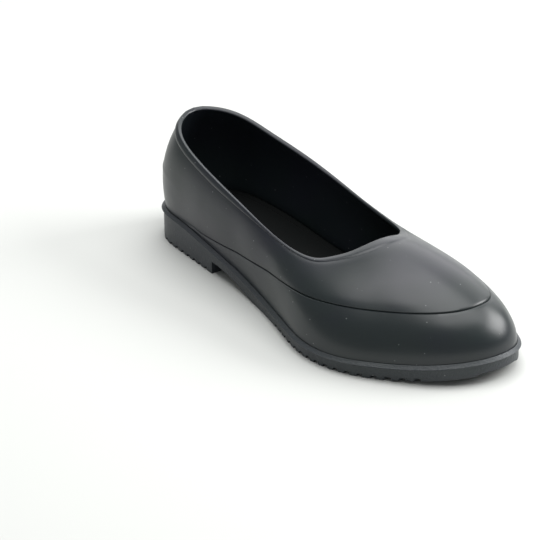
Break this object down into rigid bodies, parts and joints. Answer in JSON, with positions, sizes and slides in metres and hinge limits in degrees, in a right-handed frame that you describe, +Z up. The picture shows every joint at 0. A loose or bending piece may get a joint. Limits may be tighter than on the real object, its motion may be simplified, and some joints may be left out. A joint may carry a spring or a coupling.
{
  "type": "rubber overshoe",
  "caption": "Low slip-on rubber overshoe for the right foot, with a wide oval top line, thickened collar bead, apron line round the toe and a grooved outsole with heel.",
  "frame": {"origin": "centre of the overall box in plan, on the floor plane under the sole", "axes": "+X to the toe, +Y to the wearer's left (the shoe's inner side), +Z up"},
  "size_m": [0.305, 0.1226, 0.0833],
  "materials": {
    "upper_rubber": "smooth semi-matte moulded black rubber",
    "outsole_rubber": "matte black tread rubber with a fine stipple on the side wall",
    "insole_rubber": "dull black footbed rubber"
  },
  "bodies": {
    "root": {"upper": "upper_rubber", "outsole": "outsole_rubber", "insole": "insole_rubber"}
  },
  "joints": []
}
